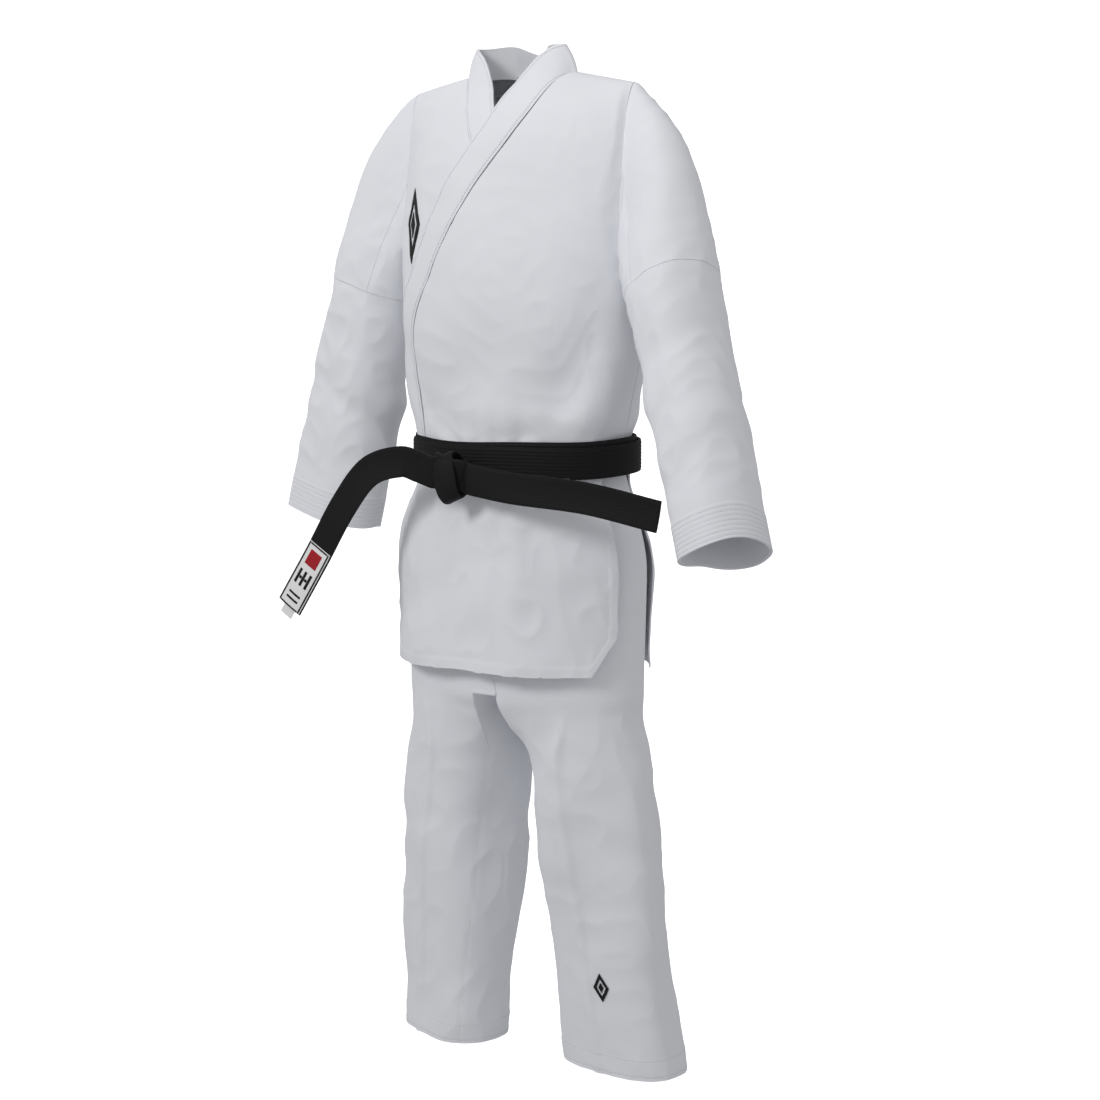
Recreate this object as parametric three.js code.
// Karate uniform: a cotton canvas jacket closed left over right by a wrapped and knotted belt,
// over trousers with a crotch gusset. Millimetres, +Z up, the wearer faces -Y and +X is the
// wearer's left. The origin is the point between the shoulders that the garment hangs from.
import * as THREE from "three";

// ---- driving dimensions -------------------------------------------------------------------
const cloth = 2; // thickness of a panel with its seam allowance
const layerGap = 0.9; // air between two layers of cloth
const seamGap = 0.5; // between two edges that are sewn together
const quadSize = 21; // longest step along a curved panel

// jacket body: half widths, half depths and heights of its levels
const chest = { z: -280, a: 178, b: 108 };
const waist = { z: -490, a: 150, b: 90 };
const seat = { z: -640, a: 192, b: 116 };
const jacketHem = { z: -760, a: 190, b: 118 };
const domeBase = -250; // where the chest begins to round over to the shoulder
const shoulderSlope = 0.2;
const neckHalfWidth = 84;
const armholeInset = 12; // from the chest's side in to the armhole seam
const armholeX = chest.a - armholeInset;
const panelSplit = -506; // hidden under the belt, where the skirts begin to hang
const collarWidth = 42;
const lapelThickness = 3;
const ventAngle = 66; // degrees from the front or back centre to the side vent
const skirtCorner = 50; // the front skirt's cut corner
const liningDepth = 150;

// sleeves
const sleeveShape = {
  left: { start: 202, cuff: [380, -130, -590], bicep: [54, 70], wrist: [50, 66] },
  right: { start: 218, cuff: [330, 0, -590], bicep: [58, 64], wrist: [72, 46] },
};
const dropSeam = 0.3; // share of the sleeve line that the shoulder cap takes
const sleeveTop = -146;
const shoulderFullness = 26; // how far the cap swells over the shoulder
const cuffFacing = 46;

// belt
const beltWidth = 40;
const beltThickness = 3.5;
const beltCentre = -490;
const knotRadius = 28;
const knotX = -25;
const knotDrop = 22; // below the middle of the belt
const labelLength = 98;
const tagLength = 14;

// trousers
const trouserWaist = { z: -462, a: 138, b: 79 };
const trouserHip = { z: -640, a: 177, b: 99 };
const trouserRise = { z: -800, a: 174, b: 96 };
const waistbandWidth = 42;
const seatSplit = -690; // where the legs begin to move
const legTop = { x: 90, y: 4, w: 80, d: 88 };
const legHem = { x: 140, y: 35, w: 92, d: 56, z: -1300 };
const legTurn = { left: -6, right: -30 }; // degrees, the pressed hem about the leg
const legFacing = 30;
const innerStrip = 62; // degrees of the leg taken by its inner panel

// ---- helpers ------------------------------------------------------------------------------
const rad = THREE.MathUtils.degToRad;
const lerp = THREE.MathUtils.lerp;
const smooth = (t) => THREE.MathUtils.smoothstep(t, 0, 1);
const vec = (x, y, z) => new THREE.Vector3(x, y, z);
const uniform = new THREE.Group();

const colours = {
  canvas: "#e9ebf0",
  lining: "#d3d5d8",
  belt: "#161616",
  label: "#f2f2f2",
  tie: "#4a4c50",
};

// One closed cloth solid: the face point(u, v), u and v from 0 to 1, made thick along its normal
// from `lift` to `lift + thick`. A closed face joins u = 1 back to u = 0.
function sheet(name, colour, point, steps, { lift = 0, thick = cloth, closed = false } = {}) {
  const [nu, nv] = steps;
  const columns = closed ? nu : nu + 1;
  const d = 1e-3;
  const wrap = (u) => (closed ? (u + 1) % 1 : THREE.MathUtils.clamp(u, 0, 1));
  const clampV = (v) => THREE.MathUtils.clamp(v, 0, 1);
  const positions = [];
  for (const height of [lift, lift + thick]) {
    for (let j = 0; j <= nv; j++) {
      for (let i = 0; i < columns; i++) {
        const u = i / nu;
        const v = j / nv;
        const across = point(wrap(u + d), v).sub(point(wrap(u - d), v));
        const along = point(u, clampV(v + d)).sub(point(u, clampV(v - d)));
        const normal = across.cross(along).normalize();
        positions.push(...point(u, v).addScaledVector(normal, height).toArray());
      }
    }
  }
  const at = (layer, i, j) => layer * columns * (nv + 1) + j * columns + (i % columns);
  const index = [];
  const quad = (a, b, c, e) => index.push(a, b, c, a, c, e);
  for (let j = 0; j < nv; j++) {
    for (let i = 0; i < nu; i++) {
      quad(at(1, i, j), at(1, i + 1, j), at(1, i + 1, j + 1), at(1, i, j + 1));
      quad(at(0, i, j), at(0, i, j + 1), at(0, i + 1, j + 1), at(0, i + 1, j));
    }
  }
  for (let i = 0; i < nu; i++) {
    quad(at(0, i, 0), at(0, i + 1, 0), at(1, i + 1, 0), at(1, i, 0));
    quad(at(1, i, nv), at(1, i + 1, nv), at(0, i + 1, nv), at(0, i, nv));
  }
  if (!closed) {
    for (let j = 0; j < nv; j++) {
      quad(at(0, 0, j), at(1, 0, j), at(1, 0, j + 1), at(0, 0, j + 1));
      quad(at(1, nu, j), at(0, nu, j), at(0, nu, j + 1), at(1, nu, j + 1));
    }
  }
  const geometry = new THREE.BufferGeometry();
  geometry.setAttribute("position", new THREE.Float32BufferAttribute(positions, 3));
  geometry.setIndex(index);
  return add(name, colour, geometry);
}

function add(name, colour, geometry) {
  const material = new THREE.MeshStandardMaterial({ color: colour, roughness: 0.9, metalness: 0 });
  const mesh = new THREE.Mesh(geometry, material);
  mesh.name = name;
  uniform.add(mesh);
  return mesh;
}

const stepsFor = (length) => Math.max(2, Math.round(length / quadSize));

// half width and half depth of a body at height z, eased between its levels from the top down
function section(levels, z) {
  if (z >= levels[0].z) return levels[0];
  for (let k = 1; k < levels.length; k++) {
    const upper = levels[k - 1];
    const lower = levels[k];
    if (z >= lower.z) {
      const t = smooth((upper.z - z) / (upper.z - lower.z));
      return { a: lerp(upper.a, lower.a, t), b: lerp(upper.b, lower.b, t) };
    }
  }
  return levels[levels.length - 1];
}

const jacketLevels = [chest, waist, seat, jacketHem];
const trouserLevels = [trouserWaist, trouserHip, trouserRise];
const ridge = (x) => -shoulderSlope * (Math.abs(x) - neckHalfWidth);

// Point on the jacket body. angle: radians from the front centre towards the wearer's left.
// level: a height in millimetres up to domeBase, and above it domeBase + 1 at the shoulder ridge.
function jacketPoint(angle, z, rise = 0) {
  const { a, b } = section(jacketLevels, z);
  const x = a * Math.sin(angle);
  const y = -b * Math.cos(angle) * Math.cos(rise);
  const top = domeBase + (ridge(x) - domeBase) * Math.sin(rise);
  return vec(x, y, rise > 0 ? top : z);
}

// s runs 0..1 up a body panel: first from the belt to domeBase, then round to the ridge
const lowerShare = 0.5;
function climb(s) {
  const low = Math.min(s / lowerShare, 1);
  const high = Math.max((s - lowerShare) / (1 - lowerShare), 0);
  return { z: lerp(panelSplit, domeBase, low), rise: (high * Math.PI) / 2 };
}

// ---- jacket body --------------------------------------------------------------------------
// The armhole edge: the side seam below, then a scoop in to armholeX, and straight up.
const scoopBottom = 0.44; // share of the climb where the armhole begins
const scoopTop = 0.6;
const armholeAngle = Math.asin(armholeX / chest.a);
function sideAngle(s) {
  const t = THREE.MathUtils.clamp((s - scoopBottom) / (scoopTop - scoopBottom), 0, 1);
  return lerp(Math.PI / 2, armholeAngle, Math.sin((t * Math.PI) / 2));
}

// The lapel seam of the upper front: from the neck point down across the chest to the other side.
const lapelSeam = new THREE.SplineCurve([
  new THREE.Vector2(0, rad(-46)),
  new THREE.Vector2(0.26, rad(-44)),
  new THREE.Vector2(0.46, rad(-30)),
  new THREE.Vector2(0.62, rad(-7)),
  new THREE.Vector2(0.78, rad(16)),
  new THREE.Vector2(1, Math.asin(neckHalfWidth / chest.a)),
]);
const seamTable = lapelSeam.getPoints(120);
function seamAngle(s) {
  const k = seamTable.findIndex((p) => p.x >= s);
  if (k <= 0) return seamTable[0].y;
  const before = seamTable[k - 1];
  const after = seamTable[k];
  return lerp(before.y, after.y, (s - before.x) / Math.max(after.x - before.x, 1e-6));
}
const overLift = lapelThickness + 2 * layerGap; // the left front lies over the right
const edgeGap = seamGap / 2 / chest.b; // half a seam gap as an angle

// side +1 is the wearer's left, -1 the right
function frontPanel(name, side, lift) {
  const point = (u, v) => {
    const { z, rise } = climb(v);
    const from = seamAngle(v) + edgeGap;
    const to = sideAngle(v) - edgeGap;
    const p = jacketPoint(lerp(from, to, u), z, rise);
    p.x *= side;
    p.y -= seamGap / 2;
    return p;
  };
  const facing = side > 0 ? point : (u, v) => point(1 - u, v);
  sheet(name, colours.canvas, facing, [stepsFor(380), 16], { lift });
}
frontPanel("right_front_panel", -1, 0);
frontPanel("left_front_panel", 1, overLift);

const napeShare = 0.86; // share of the climb where the back neckline begins
// Back panels meet at the centre back seam and reach the collar at the nape.
function backPanel(name, side) {
  const nape = Math.asin(neckHalfWidth / chest.a);
  const point = (u, v) => {
    const { z, rise } = climb(v);
    const to = sideAngle(v) - edgeGap;
    const neck = smooth((v - napeShare) / (1 - napeShare)) * nape;
    const p = jacketPoint(lerp(edgeGap + neck, to, u), z, rise);
    return vec(p.x * side, -p.y + seamGap / 2, p.z);
  };
  const facing = side > 0 ? (u, v) => point(1 - u, v) : point;
  sheet(name, colours.canvas, facing, [stepsFor(250), 16]);
}
backPanel("left_back_panel", 1);
backPanel("right_back_panel", -1);

// ---- collar and lapels --------------------------------------------------------------------
// The lapel band runs beside the seam from the neck to the belt, on the same layer as its panel.
const bandAngle = (s) => collarWidth / lerp(waist.a, chest.a, smooth(s * 2)) / 0.92;
const bandTop = 0.8; // the band leaves the chest here and stands up as the collar
function lapelPoint(side, u, s) {
  const { z, rise } = climb(s);
  const seam = seamAngle(s) - edgeGap;
  const p = jacketPoint(lerp(seam - bandAngle(s), seam, u), z, rise);
  return vec(p.x * side, p.y - seamGap / 2, p.z);
}
function lapelBand(name, side, lift) {
  const point = (u, v) => lapelPoint(side, side > 0 ? u : 1 - u, v * bandTop);
  sheet(name, colours.canvas, point, [3, 16], { lift, thick: lapelThickness });
}
lapelBand("right_lapel_band", -1, 0);
lapelBand("left_lapel_band", 1, overLift);

// The collar follows the neck seam from one lapel round the nape to the other. Each stop holds
// a point of the seam and the direction in which the band stands there.
function collarStops(side, lift) {
  const stops = [];
  const clear = 3 * edgeGap;
  for (const s of [bandTop + 0.006, 0.87, 0.94, 0.99]) {
    const { z, rise } = climb(s);
    const p = jacketPoint(seamAngle(s) - clear, z, rise);
    const inward = lapelPoint(1, 0, s).sub(lapelPoint(1, 1, s)).normalize();
    const stand = smooth((s - bandTop) / (0.98 - bandTop));
    const lean = inward.lerp(vec(-0.36, -0.1, 0.9), stand).normalize();
    p.y -= lift * (1 - stand);
    p.x -= lapelThickness * stand;
    stops.push({ seam: p, lean });
  }
  const nape = Math.asin(neckHalfWidth / chest.a);
  for (const s of [0.975, 0.93, napeShare]) {
    const { z, rise } = climb(s);
    const angle = smooth((s - napeShare) / (1 - napeShare)) * nape;
    const p = jacketPoint(Math.max(angle - clear, 0), z, rise);
    const out = p.x / neckHalfWidth;
    const inset = vec(p.x - lapelThickness * out, -p.y - 2.4 * lapelThickness, p.z + 4);
    stops.push({ seam: inset, lean: vec(-0.36 * out, -0.12, 0.95).normalize() });
  }
  return stops.map(({ seam, lean }) => ({
    seam: vec(seam.x * side, seam.y, seam.z),
    free: vec(seam.x * side, seam.y, seam.z).addScaledVector(
      vec(lean.x * side, lean.y, lean.z), collarWidth),
  }));
}
const leftStops = collarStops(1, overLift);
const rightStops = collarStops(-1, 0).slice(0, -1).reverse();
const collarRun = [...leftStops, ...rightStops];
const collarSeam = new THREE.CatmullRomCurve3(collarRun.map((stop) => stop.seam));
const collarFree = new THREE.CatmullRomCurve3(collarRun.map((stop) => stop.free));
const collarPoint = (u, v) => collarFree.getPoint(v).lerp(collarSeam.getPoint(v), u);
sheet("collar_band", colours.canvas, collarPoint, [3, 30], { thick: lapelThickness });

// Inside the upper back a printed lining is sewn, with the maker's label below the collar.
const innerPoint = (from, to, reach) => (u, v) => {
  const { z, rise } = climb(lerp(from, to, v));
  const p = jacketPoint(lerp(-reach, reach, u), z, rise);
  return vec(p.x, -p.y + seamGap / 2, p.z);
};
const liningFrom = napeShare - liningDepth / 380;
const liningTo = napeShare - 0.01;
sheet("yoke_lining", colours.lining, (u, v) => innerPoint(liningFrom, liningTo, 0.6)(1 - u, v),
  [10, 6], { lift: -1.2 - layerGap, thick: 1.2 });
const labelTop = napeShare - 0.02;
sheet("neck_label", colours.label, (u, v) =>
  innerPoint(labelTop - 0.1, labelTop, 0.14)(1 - u, v), [3, 3], {
  lift: -2 - 2 * layerGap,
  thick: 0.8,
});

// ---- shoulders and sleeves ----------------------------------------------------------------
// turn: 0 on top of the shoulder, +-pi at the armpit, positive at the front
function armholeRing(turn) {
  const s = lerp(1, scoopBottom, Math.abs(turn) / Math.PI);
  const { z, rise } = climb(s);
  const p = jacketPoint(sideAngle(s), z, rise);
  const clear = seamGap + (overLift + 3.6 * cloth) * Math.cos(rise) ** 2;
  return vec(p.x + clear, turn < 0 ? -p.y : p.y, p.z);
}

function sleeveSurface(shape) {
  const start = vec(shape.start, 0, sleeveTop);
  const cuff = vec(...shape.cuff);
  const axis = cuff.clone().sub(start).normalize();
  const depth = vec(0, -1, 0).addScaledVector(axis, axis.y).normalize();
  const outer = depth.clone().cross(axis).normalize();
  if (outer.x < 0) outer.negate();
  return (angle, v) => {
    const turn = Math.atan2(Math.sin(angle), Math.cos(angle));
    const t = smooth((v - dropSeam * 0.5) / 0.8);
    const r1 = lerp(shape.bicep[0], shape.wrist[0], t);
    const r2 = lerp(shape.bicep[1], shape.wrist[1], t);
    const centre = start.clone().lerp(cuff, v);
    const round = centre
      .addScaledVector(outer, r1 * Math.cos(turn))
      .addScaledVector(depth, r2 * Math.sin(turn));
    const hold = 1 - smooth(v / (dropSeam * 1.15));
    const full = shoulderFullness * 4 * hold * (1 - hold) * Math.max(0, Math.cos(turn / 1.3));
    return round.lerp(armholeRing(turn), hold).add(vec(0.75 * full, 0, 0.66 * full));
  };
}

for (const [label, side] of [["left", 1], ["right", -1]]) {
  const shape = sleeveShape[label];
  const surface = sleeveSurface(shape);
  const mirrored = (turn, v) => {
    const p = surface(turn, v);
    p.x *= side;
    return p;
  };
  const along = (from, to) => (u, v) => [side > 0 ? u : 1 - u, lerp(from, to, v)];
  const sleeveLength = vec(...shape.cuff).length();
  const gapShare = seamGap / sleeveLength;
  const armpitHalf = 0.2; // share of the ring on each side of the armpit
  const capPart = along(0, dropSeam - gapShare);
  sheet(`${label}_shoulder_cap`, colours.canvas, (u, v) => {
    const [k, s] = capPart(1 - u, v);
    return mirrored(lerp(-1 + armpitHalf * 2, 1 - armpitHalf * 2, k) * Math.PI, s);
  }, [18, 6]);
  sheet(`${label}_underarm_gusset`, colours.canvas, (u, v) => {
    const [k, s] = capPart(1 - u, v);
    const reach = 2 * armpitHalf - 0.004;
    return mirrored(Math.PI * (1 + lerp(-reach, reach, k)), s);
  }, [10, 6]);
  const sleevePart = along(dropSeam + gapShare, 1);
  sheet(`${label}_sleeve`, colours.canvas, (u, v) => {
    const [k, s] = sleevePart(1 - u, v);
    return mirrored(k * 2 * Math.PI, s);
  }, [28, 6], { closed: true });
  const facingPart = along(1 - cuffFacing / sleeveLength, 1);
  sheet(`${label}_cuff_facing`, colours.canvas, (u, v) => {
    const [k, s] = facingPart(1 - u, v);
    return mirrored(k * 2 * Math.PI, s);
  }, [28, 1], { closed: true, lift: -cloth - layerGap });
}

// ---- belt ---------------------------------------------------------------------------------
const hipEase = 1.8; // the jacket is already this much wider at the belt's lower edge
const beltLift = overLift + lapelThickness + layerGap + hipEase;
function beltWrap(name, lift, drop) {
  sheet(name, colours.belt, (u, v) => {
    const angle = u * 2 * Math.PI;
    const z = beltCentre - drop + lerp(-0.5, 0.5, v) * beltWidth;
    return vec(waist.a * Math.sin(angle), -waist.b * Math.cos(angle), z);
  }, [60, 1], { closed: true, lift, thick: beltThickness });
}
const outerWrapLift = beltLift + beltThickness + layerGap;
beltWrap("belt_inner_wrap", beltLift, -3);
beltWrap("belt_outer_wrap", outerWrapLift, 3);

const beltOuter = {
  a: waist.a + outerWrapLift + beltThickness,
  b: waist.b + outerWrapLift + beltThickness,
};
const beltFrontY = -beltOuter.b * Math.sqrt(1 - (knotX / beltOuter.a) ** 2);
const knot = vec(knotX, beltFrontY - knotRadius - seamGap, beltCentre - knotDrop);
const knotGeometry = new THREE.SphereGeometry(knotRadius, 20, 12);
knotGeometry.translate(knot.x, knot.y, knot.z);
add("belt_knot", colours.belt, knotGeometry);

// A belt end leaves the knot as a flat band whose face looks forward. route: offsets from the knot.
function tailPoint(route) {
  const curve = new THREE.CatmullRomCurve3(route.map((p) => vec(...p).add(knot)));
  return (u, v, width = beltWidth) => {
    const t = THREE.MathUtils.clamp(u, 0, 1);
    const tangent = curve.getTangentAt(t);
    const across = tangent.clone().cross(vec(0, 1, 0)).normalize();
    return curve.getPointAt(t).addScaledVector(across, (v - 0.5) * width);
  };
}
const tailStart = knotRadius + seamGap;
const leftRoute = [
  [tailStart, -2, -2],
  [105, -6, -10],
  [205, 0, -18],
  [305, 8, -36],
];
const rightRoute = [
  [-tailStart - 0.2, -2, 3],
  [-70, -14, 16],
  [-112, -24, 2],
  [-150, -30, -44],
  [-192, -34, -112],
  [-238, -38, -184],
];
const leftTail = tailPoint(leftRoute);
const rightTail = tailPoint(rightRoute);
const halfBelt = { lift: -beltThickness / 2, thick: beltThickness };
sheet("left_belt_tail", colours.belt, (u, v) => leftTail(u, 1 - v), [20, 1], halfBelt);
sheet("right_belt_tail", colours.belt, (u, v) => rightTail(1 - u, v), [24, 1], halfBelt);

// The woven label is sewn to the face of the right-hand end, with a folded tag past its tip.
const rightLength = new THREE.CatmullRomCurve3(rightRoute.map((p) => vec(...p))).getLength();
const labelPatch = (from, to, width) => (u, v) =>
  rightTail(lerp(to, from, u), v, width);
const labelStart = 1 - labelLength / rightLength;
sheet("belt_label", colours.label, labelPatch(labelStart, 0.995, beltWidth - 2), [6, 1], {
  lift: beltThickness / 2 + seamGap,
  thick: 1,
});
const tagShift = vec(-0.4, 0, -0.8).multiplyScalar(tagLength);
sheet("belt_tag", colours.label, (u, v) => {
  const tip = rightTail(1, lerp(0.25, 0.75, v));
  const start = seamGap / tagLength;
  return tip.addScaledVector(tagShift, lerp(1, start, u));
}, [1, 1], { lift: -0.5, thick: 1 });

// ---- skirts -------------------------------------------------------------------------------
// Below the belt the jacket hangs as flaps, open at the side vents, on the same layers as above.
const hemZ = jacketHem.z;
const flapTop = panelSplit - seamGap;
function frontFlap(name, side, from, to, lift, corner) {
  const point = (u, v) => {
    const z = lerp(hemZ, flapTop, v);
    const cut = corner * Math.max(0, 1 - (z - hemZ) / skirtCorner);
    const edge = rad(to) - cut / seat.a;
    const angle = Math.min(rad(lerp(from, to, u)), lerp(rad(from), edge, u));
    const p = jacketPoint(angle, z);
    return vec(p.x * side, p.y - seamGap / 2, z);
  };
  const facing = side > 0 ? point : (u, v) => point(1 - u, v);
  sheet(name, colours.canvas, facing, [16, 6], { lift });
}
frontFlap("left_front_skirt", 1, -ventAngle - 3, ventAngle, overLift, skirtCorner);
frontFlap("right_front_skirt", -1, -44, ventAngle, 0, 0);
sheet("back_skirt", colours.canvas, (u, v) => {
  const p = jacketPoint(rad(lerp(-ventAngle, ventAngle, u)), lerp(hemZ, flapTop, v));
  return vec(-p.x, -p.y + seamGap / 2, p.z);
}, [16, 6]);

// A short tie shows below the belt on the wearer's left.
sheet("side_tie", colours.tie, (u, v) => {
  const z = beltCentre - beltWidth / 2 - lerp(26, 6, v);
  return jacketPoint(rad(44) + ((u - 0.5) * 14) / waist.a, z);
}, [1, 2], { lift: overLift + cloth + 2 * layerGap, thick: 1 });

// ---- trousers -----------------------------------------------------------------------------
function bodyRing(z) {
  const { a, b } = section(trouserLevels, z);
  return (angle) => vec(a * Math.sin(angle), -b * Math.cos(angle), z);
}
const full = (from, to) => (u, v) => bodyRing(lerp(from, to, v))(u * 2 * Math.PI);
const waistTop = trouserWaist.z;
const waistSeam = waistTop - waistbandWidth;
sheet("trouser_waistband", colours.canvas, full(waistSeam, waistTop), [36, 1], {
  closed: true,
  thick: 3,
});
sheet("trouser_seat", colours.canvas, full(seatSplit + seamGap, waistSeam - seamGap), [36, 4], {
  closed: true,
});

// Between the seat and the crotch each hip panel covers one side, and the gusset joins them.
const crotchZ = trouserRise.z;
const gussetAngle = Math.asin(18 / trouserRise.a);
function hipPanel(name, side) {
  const point = (u, v) => {
    const z = lerp(crotchZ + seamGap, seatSplit - seamGap, v);
    const open = lerp(gussetAngle, 0, smooth(v * 1.6)) + 0.003;
    return bodyRing(z)(lerp(open, Math.PI - open, u));
  };
  const facing = (u, v) => {
    const p = point(side > 0 ? u : 1 - u, v);
    p.x *= side;
    return p;
  };
  sheet(name, colours.canvas, facing, [16, 3]);
}
hipPanel("left_hip_panel", 1);
hipPanel("right_hip_panel", -1);
sheet("crotch_gusset", colours.canvas, (u, v) => {
  const y = lerp(-1, 1, u) * (trouserRise.b - 14);
  const arch = 16 * (y / trouserRise.b) ** 2;
  return vec(lerp(-17, 17, v), y, crotchZ + cloth + seamGap / 2 + arch);
}, [8, 2]);

// A leg is a loft from the crotch to the pressed hem; its inner panel carries the front seam.
function legSurface(label, side) {
  const turn = rad(legTurn[label]) * side;
  return (angle, v) => {
    const t = smooth(v);
    const w = lerp(legTop.w, legHem.w, t);
    const d = lerp(legTop.d, legHem.d, t);
    const x = w * Math.sin(angle);
    const y = -d * Math.cos(angle);
    const spin = turn * t;
    return vec(
      lerp(legTop.x, legHem.x, v) + x * Math.cos(spin) - y * Math.sin(spin),
      lerp(legTop.y, legHem.y, v) + x * Math.sin(spin) + y * Math.cos(spin),
      lerp(crotchZ - seamGap, legHem.z, v),
    );
  };
}
const legLength = crotchZ - legHem.z;
for (const [label, side] of [["left", 1], ["right", -1]]) {
  const surface = legSurface(label, side);
  const panel = (from, to) => (u, v) => {
    const k = side > 0 ? u : 1 - u;
    const p = surface(rad(lerp(from, to, k)), 1 - v);
    p.x *= side;
    return p;
  };
  const half = innerStrip / 2;
  const gap = THREE.MathUtils.radToDeg(seamGap / legTop.d) / 2;
  sheet(`${label}_leg_outer`, colours.canvas, panel(-90 + half + gap, 270 - half - gap), [24, 6]);
  sheet(`${label}_leg_inner`, colours.canvas, panel(-90 - half + gap, -90 + half - gap), [5, 6]);
  sheet(`${label}_leg_facing`, colours.canvas, (u, v) => {
    const k = side > 0 ? u : 1 - u;
    const p = surface(k * 2 * Math.PI, 1 - (v * legFacing) / legLength);
    p.x *= side;
    return p;
  }, [28, 1], { closed: true, lift: -1.5 - 1.5 * layerGap, thick: 1.5 });
}

// ---- embroidery ---------------------------------------------------------------------------
function emblem(name, surface, lift) {
  sheet(name, colours.belt, surface, [2, 2], { lift, thick: 0.8 });
}
const emblemSize = { w: 24, h: 40 };
const chestEmblem = { angle: 40, z: -208 };
emblem("chest_emblem", (u, v) => {
  const angle = rad(lerp(chestEmblem.angle, chestEmblem.angle + emblemSize.w / 2.2, 1 - u));
  const z = chestEmblem.z + v * emblemSize.h;
  const shoulder = ridge(chest.a * Math.sin(angle));
  const p = jacketPoint(angle, z, Math.asin((z - domeBase) / (shoulder - domeBase)));
  return vec(-p.x, p.y - seamGap, p.z);
}, cloth + 0.1);
emblem("shin_emblem", (u, v) => {
  const p = legSurface("left", 1)(rad(lerp(8, 24, u)), lerp(0.8, 0.72, v));
  return p;
}, cloth + seamGap);

export default uniform;
